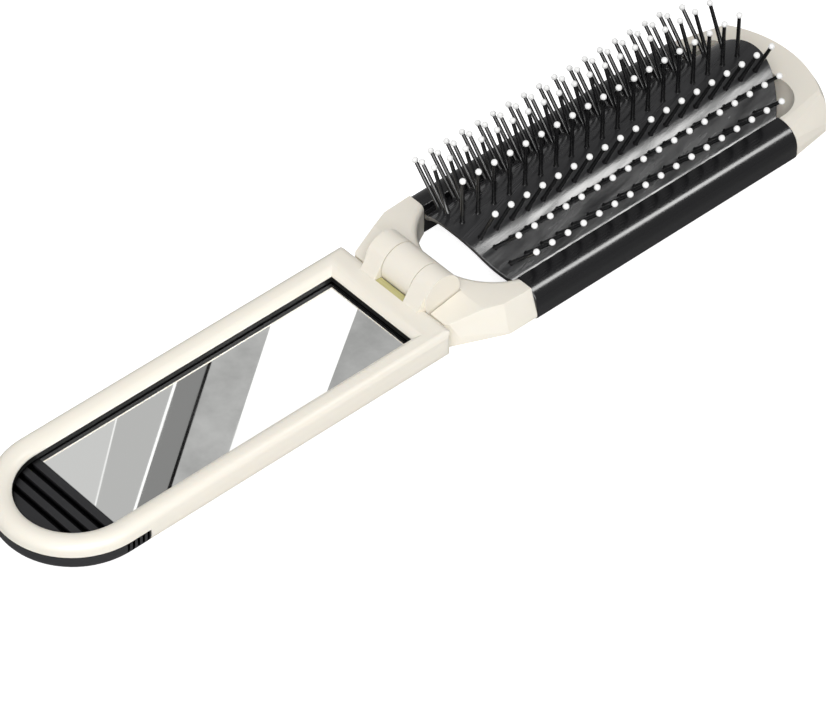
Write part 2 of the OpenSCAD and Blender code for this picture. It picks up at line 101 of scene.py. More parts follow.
class Graph:
    """The node graph of a material or a world, with short ways to add the nodes that the finishes share."""

    def __init__(self, owner: bpy.types.ID, output: str = "ShaderNodeOutputMaterial") -> None:
        """Empties the owner's graph and gives it an output node.

        Args:
            owner: The material or the world.
            output: Kind of the output node.
        """
        owner.use_nodes = True
        self.tree = owner.node_tree
        self.tree.nodes.clear()
        self.out = self.add(output)

    def add(self, kind: str, inputs: dict | None = None) -> bpy.types.Node:
        """Adds a node.

        Args:
            kind: The node's type.
            inputs: For each input that isn't left at its default, a value or the output that is linked to it.

        Returns:
            The node.
        """
        node = self.tree.nodes.new(kind)
        self.fill(node, inputs or {})
        return node

    def fill(self, node: bpy.types.Node, inputs: dict) -> None:
        """Sets or links a node's inputs.

        Args:
            node: The node.
            inputs: A value or an output for each input, by the input's name or number.
        """
        for key, value in inputs.items():
            if isinstance(value, bpy.types.NodeSocket):
                self.tree.links.new(value, node.inputs[key])
            else:
                node.inputs[key].default_value = value

    def surface(self, shader: bpy.types.NodeSocket) -> None:
        """Links a shader to the graph's output.

        Args:
            shader: The shader's output.
        """
        self.fill(self.out, {"Surface": shader})

    def place(self, stretch: tuple[float, float, float] = (1.0, 1.0, 1.0),
              turn: float = 0.0) -> bpy.types.NodeSocket:
        """Gives places on the object, for a pattern that is drawn out along its axes.

        Args:
            stretch: How many times longer the pattern is along each of its axes.
            turn: Turn of those axes about Z.

        Returns:
            The output that holds the places.
        """
        coords = self.add("ShaderNodeTexCoord")
        mapping = self.add("ShaderNodeMapping")
        mapping.vector_type = "TEXTURE"
        self.fill(mapping, {
            "Vector": coords.outputs["Object"], "Rotation": (0.0, 0.0, turn), "Scale": stretch})
        return mapping.outputs["Vector"]

    def noise(self, where: bpy.types.NodeSocket, size: float, detail: float,
              rough: float = 0.5) -> bpy.types.NodeSocket:
        """Adds a noise pattern.

        Args:
            where: The places at which it is read.
            size: Size of its largest features.
            detail: Number of finer layers.
            rough: Weight of the finer layers.

        Returns:
            Its value.
        """
        inputs = {"Vector": where, "Scale": 1.0 / size, "Detail": detail, "Roughness": rough}
        return self.add("ShaderNodeTexNoise", inputs).outputs["Fac"]

    def spread(self, value: bpy.types.NodeSocket, to: tuple,
               source: tuple = (0.0, 1.0)) -> bpy.types.NodeSocket:
        """Carries a value from one range to another.

        Args:
            value: The value.
            to: The two ends of the range that comes out.
            source: The two ends of the range that goes in.

        Returns:
            The new value.
        """
        node = self.add("ShaderNodeMapRange", {
            "Value": value, "From Min": source[0], "From Max": source[1], "To Min": to[0], "To Max": to[1]})
        return node.outputs["Result"]

    def tint(self, value: bpy.types.NodeSocket, ends: tuple[float, float],
             colours: tuple) -> bpy.types.NodeSocket:
        """Turns a value into a colour between two colours.

        Args:
            value: The value.
            ends: The values at which each colour is reached.
            colours: The two colours.

        Returns:
            The colour.
        """
        node = self.add("ShaderNodeValToRGB", {"Fac": value})
        for element, end, colour in zip(node.color_ramp.elements, ends, colours):
            element.position = end
            element.color = colour
        return node.outputs["Color"]

    def math(self, operation: str, first: object, second: object) -> bpy.types.NodeSocket:
        """Works out one sum.

        Args:
            operation: Blender's name of the operation.
            first: The first value or output.
            second: The second value or output.

        Returns:
            The result.
        """
        node = self.add("ShaderNodeMath")
        node.operation = operation
        self.fill(node, {0: first, 1: second})
        return node.outputs["Value"]


@dataclass(frozen=True)
class MouldedPlastic:
    """Injection-moulded plastic: a gloss over a body colour, with faint clouding and a fine moulded grain; where asked,
    shade is painted into narrow hollows.
    """

    name: str
    colour: tuple[float, float, float, float]
    cloud_colour: tuple[float, float, float, float]
    rough_low: float
    rough_high: float
    specular: float = 0.5
    coat: float = 0.0
    coat_rough: float = 0.08
    grain_size: float = 0.35 * MM
    grain_height: float = 0.004 * MM
    grain_detail: float = 2.0
    grain_strength: float = 0.35
    cloud_size: float = 14.0 * MM
    cloud_detail: float = 4.0
    cloud_rough: float = 0.55
    cloud_ends: tuple[float, float] = (0.35, 0.75)
    smear_ends: tuple[float, float] = (0.3, 0.7)
    stretch: float = 1.0
    turn: float = 0.0
    scatter: float = 0.0
    scatter_share: tuple[float, float, float] = (1.0, 0.75, 0.5)
    scatter_depth: float = 0.6 * MM
    # Reach, ends and samples of the painted shade that darkens narrow hollows.
    painted_crevice_shade: float = 0.0
    painted_crevice_shade_ends: tuple[float, float] = (0.45, 0.85)
    painted_crevice_shade_samples: int = 8

    def build(self) -> bpy.types.Material:
        """Makes the node material. Where a shade depth is given, hollows narrower than it get painted shade: their
        colour and gloss turn dark.

        Returns:
            The finished material.
        """
        mat = bpy.data.materials.new(self.name)
        graph = Graph(mat)
        where = graph.place((self.stretch, 1.0, 1.0), self.turn)
        clouds = graph.noise(where, self.cloud_size, self.cloud_detail, self.cloud_rough)
        colour = graph.tint(clouds, self.cloud_ends, (self.colour, self.cloud_colour))
        gloss = self.specular
        if self.painted_crevice_shade > 0:
            colour, gloss = self.paint_hollow_shade(graph, colour)
        grain = graph.noise(where, self.grain_size, self.grain_detail)
        bump = graph.add("ShaderNodeBump", {
            "Height": grain, "Strength": self.grain_strength, "Distance": self.grain_height})
        shader = graph.add("ShaderNodeBsdfPrincipled", {
            "Base Color": colour,
            "Specular IOR Level": gloss,
            "Roughness": graph.spread(clouds, (self.rough_low, self.rough_high), self.smear_ends),
            "Normal": bump.outputs["Normal"],
            "Coat Weight": self.coat,
            "Coat Roughness": self.coat_rough,
            "Subsurface Weight": self.scatter,
            "Subsurface Radius": self.scatter_share,
            "Subsurface Scale": self.scatter_depth})
        graph.surface(shader.outputs["BSDF"])
        return mat

    def paint_hollow_shade(self, graph: Graph, colour: bpy.types.NodeSocket) -> tuple:
        """Paints shade into narrow hollows by fading the body colour and the gloss there.

        Args:
            graph: The material's graph.
            colour: The body colour.

        Returns:
            The colour and the gloss with the painted shade.
        """
        # Painted shade: ambient occlusion darkens the colour and the gloss in narrow hollows.
        hollow = graph.add("ShaderNodeAmbientOcclusion", {"Distance": self.painted_crevice_shade})
        hollow.samples = self.painted_crevice_shade_samples
        opening = graph.spread(hollow.outputs["AO"], (0.0, 1.0), self.painted_crevice_shade_ends)
        shade_mix = graph.add("ShaderNodeMix")
        shade_mix.data_type = "RGBA"
        graph.fill(shade_mix, {"Factor": opening, "A": (0.0, 0.0, 0.0, 1.0), "B": colour})
        return shade_mix.outputs["Result"], graph.math("MULTIPLY", opening, self.specular)


@dataclass(frozen=True)
class BrushedMetal:
    """Metal with a fine grain along Y. A low metallic share gives the dull look of a lacquered leaf."""

    name: str
    colour: tuple[float, float, float, float]
    worn_colour: tuple[float, float, float, float]
    rough: float
    metallic: float = 1.0
    grain_size: float = 0.3 * MM
    grain_detail: float = 3.0
    grain_stretch: float = 10.0
    worn_ends: tuple[float, float] = (0.3, 0.8)
    rough_swing: float = 0.08

    def build(self) -> bpy.types.Material:
        """Makes the node material.

        Returns:
            The finished material.
        """
        mat = bpy.data.materials.new(self.name)
        graph = Graph(mat)
        brushed = graph.noise(graph.place((1.0, self.grain_stretch, 1.0)), self.grain_size, self.grain_detail)
        rough_ends = (self.rough - self.rough_swing, self.rough + self.rough_swing)
        shader = graph.add("ShaderNodeBsdfPrincipled", {
            "Base Color": graph.tint(brushed, self.worn_ends, (self.colour, self.worn_colour)),
            "Roughness": graph.spread(brushed, rough_ends),
            "Metallic": self.metallic})
        graph.surface(shader.outputs["BSDF"])
        return mat


@dataclass(frozen=True)
class SilveredGlass:
    """The mirror: bright silver with a breath of haze."""

    name: str = "silvered_glass"
    colour: tuple[float, float, float, float] = (0.93, 0.935, 0.93, 1.0)
    haze_size: float = 22.0 * MM
    haze_detail: float = 3.0
    haze_ends: tuple[float, float] = (0.4, 0.8)
    rough_ends: tuple[float, float] = (0.004, 0.016)

    def build(self) -> bpy.types.Material:
        """Makes the node material.

        Returns:
            The finished material.
        """
        mat = bpy.data.materials.new(self.name)
        graph = Graph(mat)
        haze = graph.noise(graph.place(), self.haze_size, self.haze_detail)
        shader = graph.add("ShaderNodeBsdfPrincipled", {
            "Roughness": graph.spread(haze, self.rough_ends, self.haze_ends),
            "Base Color": self.colour,
            "Metallic": 1.0})
        graph.surface(shader.outputs["BSDF"])
        return mat


@dataclass
class Finishes:
    """Every finish of the brush, made once and shared by its pieces."""

    cream: bpy.types.Material = field(default_factory=lambda: MouldedPlastic(
        "cream_plastic", linear(239, 233, 221), linear(240, 235, 223), 0.38, 0.42,
        specular=0.38, coat=0.05, coat_rough=0.2, scatter=0.12, cloud_size=40.0 * MM).build())
    black: bpy.types.Material = field(default_factory=lambda: MouldedPlastic(
        "black_plastic", (0.0048, 0.0048, 0.0056, 1.0), (0.0070, 0.0070, 0.0080, 1.0), 0.15, 0.22,
        specular=0.5, stretch=6.0).build())
    # The tray's grooves get painted shade from ambient occlusion.
    tray: bpy.types.Material = field(default_factory=lambda: MouldedPlastic(
        "tray_plastic", (0.017, 0.017, 0.019, 1.0), (0.023, 0.023, 0.025, 1.0), 0.36, 0.48,
        specular=0.35, grain_height=0.008 * MM, painted_crevice_shade=1.6 * MM).build())
    liner: bpy.types.Material = field(default_factory=lambda: MouldedPlastic(
        "liner_plastic", (0.003, 0.003, 0.003, 1.0), (0.004, 0.004, 0.004, 1.0), 0.5, 0.6,
        specular=0.2).build())
    pad: bpy.types.Material = field(default_factory=lambda: MouldedPlastic(
        "pad_sheet", (0.018, 0.018, 0.0192, 1.0), (0.032, 0.032, 0.0335, 1.0), 0.10, 0.34,
        specular=0.5, grain_size=0.5 * MM, grain_height=0.03 * MM, cloud_size=2.2 * MM, stretch=12.0,
        turn=math.radians(13.5)).build())
    pin: bpy.types.Material = field(default_factory=lambda: MouldedPlastic(
        "pin_nylon", (0.004, 0.004, 0.0045, 1.0), (0.008, 0.008, 0.0085, 1.0), 0.12, 0.2,
        specular=0.6, cloud_size=3.0 * MM).build())
    ball: bpy.types.Material = field(default_factory=lambda: MouldedPlastic(
        "ball_resin", (0.98, 0.98, 0.97, 1.0), (0.95, 0.95, 0.94, 1.0), 0.3, 0.4,
        specular=0.2, grain_height=0.001 * MM, cloud_size=1.5 * MM).build())
    steel: bpy.types.Material = field(default_factory=lambda: BrushedMetal(
        "steel_pin", (0.55, 0.55, 0.56, 1.0), (0.68, 0.68, 0.68, 1.0), 0.3).build())
    bronze: bpy.types.Material = field(default_factory=lambda: BrushedMetal(
        "bronze_leaf", linear(186, 180, 124), linear(202, 196, 142), 0.42, metallic=0.1).build())
    silver: bpy.types.Material = field(default_factory=lambda: SilveredGlass().build())


# ---------------------------------------------------------------- mesh making


def mesh_object(name: str, points: np.ndarray, faces: list, smooth_below: float = 40.0) -> bpy.types.Object:
    """Makes an object from points and faces, shaded smooth across edges that bend less than an angle.

    Args:
        name: The piece's name.
        points: An (n, 3) array of places in metres.
        faces: Lists of point numbers, counter-clockwise from outside.
        smooth_below: Edges that bend more than this many degrees stay sharp.

    Returns:
        The new object, linked to the scene.
    """
    mesh = bpy.data.meshes.new(name)
    mesh.from_pydata(points.tolist(), [], faces)
    mesh.validate()
    mesh.shade_smooth()
    mesh.set_sharp_from_angle(angle=math.radians(smooth_below))
    piece = bpy.data.objects.new(name, mesh)
    bpy.context.scene.collection.objects.link(piece)
    return piece


def tube_faces(rows: int, columns: int) -> np.ndarray:
    """Numbers the four-sided faces of rings of points stored one after another, each ring closed on itself.

    Args:
        rows: Number of rings.
        columns: Number of points in a ring.

    Returns:
        An (m, 4) array of point numbers.
    """
    r, c = np.meshgrid(np.arange(rows - 1), np.arange(columns), indexing="ij")
    right = (c + 1) % columns
    low, high = r * columns, (r + 1) * columns
    return np.stack([low + c, low + right, high + right, high + c], -1).reshape(-1, 4)


def recalculate(piece: bpy.types.Object) -> None:
    """Turns every face of a closed mesh outwards.

    Args:
        piece: The piece.
    """
    shape = bmesh.new()
    shape.from_mesh(piece.data)
    bmesh.ops.recalc_face_normals(shape, faces=shape.faces)
    shape.to_mesh(piece.data)
    shape.free()


def soft_edges(piece: bpy.types.Object, width: float, segments: int = 3, above: float = 32.0) -> None:
    """Rounds the sharp edges of a piece as a mould does.

    Args:
        piece: The piece.
        width: Width of the rounding in metres.
        segments: Number of steps in the rounding.
        above: Edges that bend more than this many degrees are rounded.
    """
    bevel = piece.modifiers.new("moulded_edge", "BEVEL")
    bevel.width = width
    bevel.segments = segments
    bevel.limit_method = "ANGLE"
    bevel.angle_limit = math.radians(above)
    bevel.harden_normals = True
    bevel.use_clamp_overlap = True


def round_rim(piece: bpy.types.Object, middle_x: float, radius: float, height: float, width: float) -> None:
    """Gives the top rim of a round opening a wide, soft rounding, ahead of the piece's other edges.

    Args:
        piece: The piece.
        middle_x: Place of the opening's middle along the brush.
        radius: Radius of the opening.
        height: Height of the rim.
        width: Width of the rounding.
    """
    near_radius, near_height = 0.05 * MM, 0.02 * MM
    shape = bmesh.new()
    shape.from_mesh(piece.data)
    weight = shape.edges.layers.float.new("bevel_weight_edge")
    for edge in shape.edges:
        away = [abs(math.hypot(v.co.x - middle_x, v.co.y) - radius) for v in edge.verts]
        drop = [abs(v.co.z - height) for v in edge.verts]
        edge[weight] = float(max(away) < near_radius and max(drop) < near_height)
    shape.to_mesh(piece.data)
    shape.free()
    bevel = piece.modifiers.new("rim_rounding", "BEVEL")
    bevel.width = width
    bevel.segments = 5
    bevel.limit_method = "WEIGHT"
    bevel.use_clamp_overlap = False


def moulded_copy(node: str, name: str, edge: float, sharp: float = 28.0) -> bpy.types.Object:
    """Makes a smooth, round-edged skin from a CAD node: its loose triangles are joined, flat areas are merged
    into single faces, and the corners are rounded by a small width.

    Args:
        node: The CAD node.
        name: The new piece's name.
        edge: Width of the rounding on its edges, in metres.
        sharp: Edges that bend more than this many degrees stay crisp and are rounded.

    Returns:
        The new piece.
    """
    mesh = bpy.data.meshes.new(name)
    shape = bmesh.new()
    shape.from_mesh(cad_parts[node].data)
    bmesh.ops.remove_doubles(shape, verts=shape.verts, dist=WELD)
    bmesh.ops.dissolve_limit(shape, angle_limit=FLAT_BELOW, verts=shape.verts, edges=shape.edges)
    shape.to_mesh(mesh)
    shape.free()
    mesh.materials.clear()
    mesh.shade_smooth()
    mesh.set_sharp_from_angle(angle=math.radians(sharp))
    piece = bpy.data.objects.new(name, mesh)
    bpy.context.scene.collection.objects.link(piece)
    if edge > 0:
        soft_edges(piece, edge, above=sharp + 4.0)
    return piece


def settle(piece: bpy.types.Object, body: Body, nodes: tuple[str, ...], finish: bpy.types.Material) -> bpy.types.Object:
    """Gives a piece its finish and its place in the assembly.

    Args:
        piece: The piece.
        body: The body that it moves with.
        nodes: The CAD nodes that it stands for.
        finish: Its material.

    Returns:
        The same piece.
    """
    piece.data.materials.clear()
    piece.data.materials.append(finish)
    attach(piece, body.value)
    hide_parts(*nodes)
    LOG.info("%s rides on %s and stands for %s", piece.name, body.value, ", ".join(nodes))
    return piece


# ---------------------------------------------------------------- handle


@dataclass
class Handle:
    """The mirror handle: cream shell and back, black window liner, hinge pin and bronze leaf."""

    finishes: Finishes
    shell_edge: float = 0.35 * MM
    back_edge: float = 0.2 * MM
    trim_edge: float = 0.08 * MM

    def build(self) -> None:
        """Makes and dresses every piece of the handle."""
        f = self.finishes
        settle(moulded_copy("handle_shell", "shell", self.shell_edge), Body.HANDLE,
               ("handle_shell",), f.cream)
        settle(moulded_copy("handle_back", "back_cover", self.back_edge), Body.HANDLE,
               ("handle_back",), f.cream)
        settle(moulded_copy("window_liner", "liner", self.trim_edge), Body.HANDLE,
               ("window_liner",), f.liner)
        settle(moulded_copy("hinge_pin", "pivot", self.trim_edge), Body.HANDLE,
               ("hinge_pin",), f.steel)
        settle(moulded_copy("detent_leaf", "leaf", self.trim_edge), Body.HANDLE,
               ("detent_leaf",), f.bronze)


# ---------------------------------------------------------------- mirror tray


@dataclass
class MirrorTray:
    """The tray that slides out of the handle's tip, with its bevelled mirror."""

    finishes: Finishes
    tray_edge: float = 0.28 * MM
    bevel_width: float = 0.14 * MM
    bevel_drop: float = 0.05 * MM

    def glass(self) -> bpy.types.Object:
        """Makes the glass as a stack of rectangles: foot, shoulder, and a raised face inside a sloping bevel.

        Returns:
            The mirror.
        """
        low, high = (np.array(v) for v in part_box("mirror_glass"))
        insets = np.array([0.0, 0.0, 0.3 * self.bevel_width, self.bevel_width])
        heights = np.array([low[2], high[2] - 2 * self.bevel_drop, high[2] - self.bevel_drop, high[2]])
        sign = np.array([[-1, -1], [1, -1], [1, 1], [-1, 1]], float)
        middle, half = (low[:2] + high[:2]) / 2, (high[:2] - low[:2]) / 2
        corners = middle + sign[None] * (half - insets[:, None])[:, None, :]
        tall = np.broadcast_to(heights[:, None, None], (4, 4, 1))
        points = np.concatenate([corners, tall], -1).reshape(-1, 3)
        faces = tube_faces(4, 4).tolist() + [[3, 2, 1, 0], [12, 13, 14, 15]]
        return mesh_object("mirror", points, faces, smooth_below=5.0)

    def build(self) -> None:
        """Makes and dresses the tray and its mirror."""
        settle(moulded_copy("mirror_tray", "tray", self.tray_edge), Body.TRAY,
               ("mirror_tray",), self.finishes.tray)
        settle(self.glass(), Body.TRAY, ("mirror_glass",), self.finishes.silver)


# ---------------------------------------------------------------- brush frame


@dataclass
class BrushFrame:
    """The open frame round the pad: cream hub and end cap, two black rails."""

    finishes: Finishes
    hub_edge: float = 0.45 * MM
    crescent_x: float = 20.15 * MM
    crescent_radius: float = 15.0 * MM
    crescent_rounding: float = 1.2 * MM
    top_z: float = 7.5 * MM
    cap_edge: float = 0.5 * MM
    cap_sharp: float = 11.0
    rail_edge: float = 0.25 * MM

    def build(self) -> None:
        """Makes and dresses the four pieces of the frame."""
        f = self.finishes
        hub = moulded_copy("hub", "hub_shell", 0.0)
        round_rim(hub, self.crescent_x, self.crescent_radius, self.top_z, self.crescent_rounding)
        soft_edges(hub, self.hub_edge)
        settle(hub, Body.HEAD, ("hub",), f.cream)
        settle(moulded_copy("end_cap", "end_shell", self.cap_edge, self.cap_sharp), Body.HEAD,
               ("end_cap",), f.cream)
        for side in ("left", "right"):
            settle(moulded_copy(f"rail_{side}", f"side_rail_{side}", self.rail_edge), Body.HEAD,
                   (f"rail_{side}",), f.black)


# ---------------------------------------------------------------- pad and pins


@dataclass
class PinRow:
    """One row of pins: how many, where the first stands, and how the row sits on the arch."""

    number: int
    side: int
    count: int
    first_x: float
    foot: np.ndarray
    lean: float
    length: float

    def axis(self) -> np.ndarray:
        """Direction of the pins, from the pad outwards."""
        return np.array([0.0, self.side * math.sin(self.lean), math.cos(self.lean)])

    def feet(self, pitch: float) -> np.ndarray:
        """Places where the pins stand, spaced evenly along X.

        Args:
            pitch: Spacing of the pins.

        Returns:
            An (n, 3) array of places.
        """
        x = self.first_x + pitch * np.arange(self.count)
        feet = np.zeros((self.count, 3))
        feet[:, 0] = x
        feet[:, 1] = self.side * self.foot[0]
        feet[:, 2] = self.foot[1]
        return feet

    def frame(self) -> tuple[np.ndarray, np.ndarray]:
        """Two directions square to the pins."""
        along = np.array([1.0, 0.0, 0.0])
        return along, np.cross(self.axis(), along)


@dataclass
class PinPad:
    """The thin arched pad with seven rows of ball-tipped pins."""

    finishes: Finishes
    butt_x: float = -4.85 * MM
    arch_radius: float = 11.7 * MM
    crown_height: float = 14.0 * MM
    thickness: float = 0.8 * MM
    flank_angle: float = math.radians(42.0)
    edge_y: float = 13.5 * MM
    edge_out: float = 14.9 * MM
    hub_end: float = 13.6 * MM
    far_end: float = 97.5 * MM
    hub_end_radius: float = 19.8 * MM
    far_end_radius: float = 17.2 * MM
    pitch: float = 4.2 * MM
    leans: tuple[float, ...] = (0.0, 24.5, 40.2, 42.0)
    firsts: tuple[float, ...] = (3.3 * MM, 3.8 * MM, 5.3 * MM, 6.7 * MM)
    lengths: tuple[float, ...] = (10.9 * MM, 10.1 * MM, 10.4 * MM, 10.8 * MM)
    middle_count: int = 19
    flank_row: float = 3.9 * MM
    foot_fillet: float = 2.8 * MM
    stem_base: float = 0.47 * MM
    stem_tip: float = 0.40 * MM
    collar: float = 0.62 * MM
    ball_radius: float = 0.68 * MM
    folded_share: float = 0.25
    sheet_steps: int = 41
    sheet_edge: float = 0.12 * MM
    collar_heights: tuple[float, float] = (0.02 * MM, 0.16 * MM)
    stem_from: float = 0.4 * MM
    collar_taper: float = 0.85
    ball_seat: float = 0.3
    pole_gap: float = 0.06

    def __post_init__(self) -> None:
        """Works out the arch's middle and where its flanks begin."""
        self.centre_z = self.crown_height - self.arch_radius
        self.flank_y = self.arch_radius * math.sin(self.flank_angle)
        self.flank_z = self.centre_z + self.arch_radius * math.cos(self.flank_angle)
        self.edge_z = self.flank_z - (self.edge_y - self.flank_y) * math.tan(self.flank_angle)

    def half_top(self, steps: int = 15) -> np.ndarray:
        """Works out half of the pad's top section: an arc from the crown to the flank, the straight flank, a
        small hollow rounding at its foot, and the flange that seats in the rail.

        Args:
            steps: Points on the arc.

        Returns:
            An (n, 2) array of distance from the middle plane and height.
        """
        a = np.linspace(0.0, self.flank_angle, steps)
        arc = np.stack([self.arch_radius * np.sin(a), self.centre_z + self.arch_radius * np.cos(a)], -1)
        reach = self.foot_fillet * math.tan(self.flank_angle / 2)
        start, corner = arc[-1], np.array([self.edge_y, self.edge_z])
        down = (corner - start) / np.linalg.norm(corner - start)
        s = np.linspace(0.0, 1.0, 6)[1:, None]
        flank = start + (corner - down * reach - start) * s
        b = np.linspace(self.flank_angle, 0.0, 13)[1:]
        hollow = np.stack([corner[0] + reach - self.foot_fillet * np.sin(b),
                           corner[1] + self.foot_fillet * (1 - np.cos(b))], -1)
        flange = np.array([[self.edge_out, self.edge_z]])
        return np.concatenate([arc, flank, hollow, flange])

    def sheet(self) -> bpy.types.Object:
        """Makes the pad: its section is carried along X between two round ends, x0(y) and x1(y), and the
        lower surface is the upper one moved down its own normals by the sheet's thickness.

        Returns:
            The pad sheet.
        """
        half = self.half_top()
        top = np.concatenate([half[:0:-1] * [-1, 1], half])
        tangent = np.gradient(top, axis=0)
        normal = np.stack([-tangent[:, 1], tangent[:, 0]], -1)
        normal /= np.linalg.norm(normal, axis=1, keepdims=True)
        normal[[0, 1, -2, -1]] = [0.0, 1.0]
        bottom = top - normal * self.thickness
        section = np.concatenate([top, bottom[::-1]])
        near_mid, far_mid = self.hub_end + self.hub_end_radius, self.far_end - self.far_end_radius
        y = section[:, 0]
        x0 = near_mid - np.sqrt(self.hub_end_radius ** 2 - y ** 2)
        x1 = far_mid + np.sqrt(self.far_end_radius ** 2 - y ** 2)
        t = np.linspace(0.0, 1.0, self.sheet_steps)[:, None]
        x = self.butt_x + x0 + (x1 - x0) * t
        grid = np.stack([x, np.broadcast_to(y, x.shape), np.broadcast_to(section[:, 1], x.shape)], -1)
        rows, columns = x.shape
        side = tube_faces(rows, columns)
        n = len(top)
        j = np.arange(n - 1)
        first = np.stack([j, j + 1, columns - 2 - j, columns - 1 - j], -1)
        last = first[:, ::-1] + (rows - 1) * columns
        faces = np.concatenate([side[:, ::-1], first[:, ::-1], last[:, ::-1]]).tolist()
        piece = mesh_object("pad_sheet", grid.reshape(-1, 3), faces, smooth_below=35.0)
        recalculate(piece)
        soft_edges(piece, self.sheet_edge, segments=2, above=50.0)
        return piece

    def rows(self) -> list[PinRow]:
        """The seven rows, from the near side (1) to the far side (7)."""
        made = []
        for number in range(1, 8):
            k = abs(number - 4)
            side = Side.NEAR.value if number < 4 else Side.FAR.value
            lean = math.radians(self.leans[k])
            if k < 3:
                foot = np.array([self.arch_radius * math.sin(lean),
                                 self.centre_z + self.arch_radius * math.cos(lean)])
            else:
                foot = np.array([self.flank_y + self.flank_row * math.cos(self.flank_angle),
                                 self.flank_z - self.flank_row * math.sin(self.flank_angle)])
            made.append(PinRow(number, side, self.middle_count - max(0, k - 1),
                               self.butt_x + self.hub_end + self.firsts[k], foot, lean, self.lengths[k]))
        return made

    def stems(self, row: PinRow, sides: int = 10) -> bpy.types.Object:
        """Makes a row's stems: at each foot, rings of radius r(s) stand along the pin's direction, flared at
        the foot into a small collar and tapering to the ball.

        Args:
            row: The row.
            sides: Points in a ring.

        Returns:
            One piece that holds the row's stems.
        """
        top = row.length - self.ball_seat * self.ball_radius
        s = np.array([-0.5 * self.thickness, *self.collar_heights, self.stem_from, 0.5 * row.length, top])
        r = np.array([self.collar, self.collar, self.collar_taper * self.collar, self.stem_base,
                      0.5 * (self.stem_base + self.stem_tip), self.stem_tip])
        a = np.linspace(0.0, 2 * math.pi, sides, endpoint=False)
        u, v = row.frame()
        ring = np.cos(a)[:, None] * u + np.sin(a)[:, None] * v
        one = s[:, None, None] * row.axis() + r[:, None, None] * ring[None]
        points = row.feet(self.pitch)[:, None, None, :] + one[None]
        return self.repeated(f"pins_row_{row.number}", points, sides)

    def balls(self, row: PinRow, rings: int = 8, sides: int = 12) -> bpy.types.Object:
        """Makes a row's balls: rings of radius R sin(p) at height -R cos(p) round each pin's end.

        Args:
            row: The row.
            rings: Rings between the poles, poles included.
            sides: Points in a ring.

        Returns:
            One piece that holds the row's balls.
        """
        p = np.linspace(self.pole_gap, math.pi - self.pole_gap, rings)
        a = np.linspace(0.0, 2 * math.pi, sides, endpoint=False)
        u, v = row.frame()
        ring = np.cos(a)[:, None] * u + np.sin(a)[:, None] * v
        one = (row.length - self.ball_radius * np.cos(p))[:, None, None] * row.axis() \
            + (self.ball_radius * np.sin(p))[:, None, None] * ring[None]
        points = row.feet(self.pitch)[:, None, None, :] + one[None]
        return self.repeated(f"balls_row_{row.number}", points, sides)

    def repeated(self, name: str, points: np.ndarray, sides: int) -> bpy.types.Object:
        """Joins many small closed tubes, one for each pin, into a single piece.

        Args:
            name: The piece's name.
            points: An (pins, rings, sides, 3) array of places.
            sides: Points in a ring.

        Returns:
            The piece.
        """
        count, rings = points.shape[:2]
        tube = tube_faces(rings, sides)
        per = rings * sides
        starts = np.arange(count) * per
        faces = (tube[None] + starts[:, None, None]).reshape(-1, 4).tolist()
        bottom = np.arange(sides)[::-1]
        upper = np.arange(sides) + (rings - 1) * sides
        faces += (bottom[None] + starts[:, None]).tolist() + (upper[None] + starts[:, None]).tolist()
        piece = mesh_object(name, points.reshape(-1, 3), faces, smooth_below=60.0)
        recalculate(piece)
        return piece

    def squash(self, piece: bpy.types.Object) -> None:
        """Gives a piece of the pad a mesh of its own.

        Args:
            piece: The piece.
        """
        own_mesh(piece)

    def build(self) -> None:
        """Makes and dresses the pad, its stems and its balls."""
        f = self.finishes
        nodes = tuple(f"pad_row_{row.number}" for row in self.rows())
        self.squash(settle(self.sheet(), Body.HEAD, nodes, f.pad))
        for row in self.rows():
            stems = settle(self.stems(row), Body.HEAD, (f"pad_row_{row.number}",), f.pin)
            self.squash(stems)
            balls = settle(self.balls(row), Body.HEAD, (f"row_tips_{row.number}",), f.ball)
            self.squash(balls)


# ---------------------------------------------------------------- studio


@dataclass(frozen=True)
class Softbox:
    """A square studio lamp that points at the brush."""

    name: str
    place: tuple[float, float, float]
    size: tuple[float, float]
    watts: float
    aim: tuple[float, float, float] = (0.0, 0.0, 0.0)

    def build(self) -> None:
        """Makes the lamp, turned so that it faces its aim."""
        lamp = bpy.data.lights.new(self.name, "AREA")
        lamp.shape = "RECTANGLE"
        lamp.size, lamp.size_y = self.size
        lamp.energy = self.watts
        obj = bpy.data.objects.new(self.name, lamp)
        bpy.context.scene.collection.objects.link(obj)
        back = np.array(self.place) - np.array(self.aim)
        back /= np.linalg.norm(back)
        right = np.cross([0.0, 0.0, 1.0], back)
        right /= np.linalg.norm(right)
        up = np.cross(back, right)
        turn = Matrix.Identity(4)
        for i in range(3):
            turn[i][0], turn[i][1], turn[i][2], turn[i][3] = right[i], up[i], back[i], self.place[i]
        obj.matrix_world = turn


@dataclass(frozen=True)
class RoomBand:
    """One band of the room that the mirror shows: a card high above, out of the camera's view.

    The places are where the band's two edges cross the mirror's long sides, as distances along the brush.
    """

    name: str
    start_far: float
    start_near: float
    end_far: float
    end_near: float
    level: float
    mottled: bool = False


@dataclass(frozen=True)
class LongLight:
    """The long lamp that the rails and the pad show as a bright band.

    Its place is worked out from the tilts of the surfaces that show it: the view is mirrored in a face that
    leans towards the near side.
    """

    tilt_from: float = math.radians(30.4)
    tilt_to: float = math.radians(38.6)
    start_x: float = -20.0 * MM
    end_x: float = 160.0 * MM
    distance: float = 0.6
    level: float = 18.0

    def outline(self, view: np.ndarray) -> np.ndarray:
        """Works out the lamp's four corners.

        Args:
            view: Unit direction from the brush to the eye.

        Returns:
            A (4, 3) array of places.
        """
        corners = []
        for tilt, x in ((self.tilt_from, self.start_x), (self.tilt_from, self.end_x),
                        (self.tilt_to, self.end_x), (self.tilt_to, self.start_x)):
            face = np.array([0.0, -math.sin(tilt), math.cos(tilt)])
            sight = 2 * np.dot(face, view) * face - view
            corners.append(np.array([x, 0.0, 0.0]) + self.distance * sight)
        return np.array(corners)


